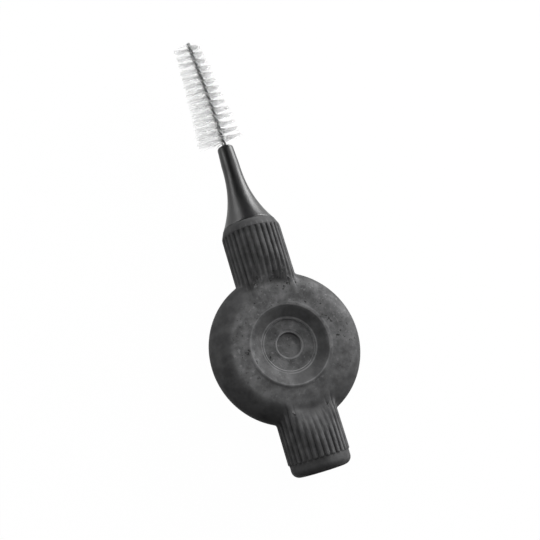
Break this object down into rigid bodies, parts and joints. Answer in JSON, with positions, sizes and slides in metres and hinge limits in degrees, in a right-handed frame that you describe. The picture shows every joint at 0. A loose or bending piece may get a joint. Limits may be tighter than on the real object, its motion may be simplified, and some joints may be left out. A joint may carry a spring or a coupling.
{
  "type": "interdental brush",
  "caption": "Tapered twisted-wire interdental brush in a glossy flared neck, on a ribbed rubber handle with a round, dished thumb disc.",
  "frame": {"origin": "middle of the overall length and width, on the plane that the handle's ribs rest on", "axes": "+Y along the brush, from the tail to the wire's tip; +Z square to the thumb disc's face"},
  "size_m": [0.02, 0.0612, 0.008],
  "materials": {
    "soft_grip": "soft matte charcoal rubber, dusty",
    "glossy_neck": "moulded glossy black",
    "steel_wire": "drawn stainless wire, dull",
    "nylon": "translucent white nylon filament"
  },
  "bodies": {
    "root": {"handle": "soft_grip", "neck": "glossy_neck", "wire": "steel_wire", "bristles": "nylon"}
  },
  "joints": []
}
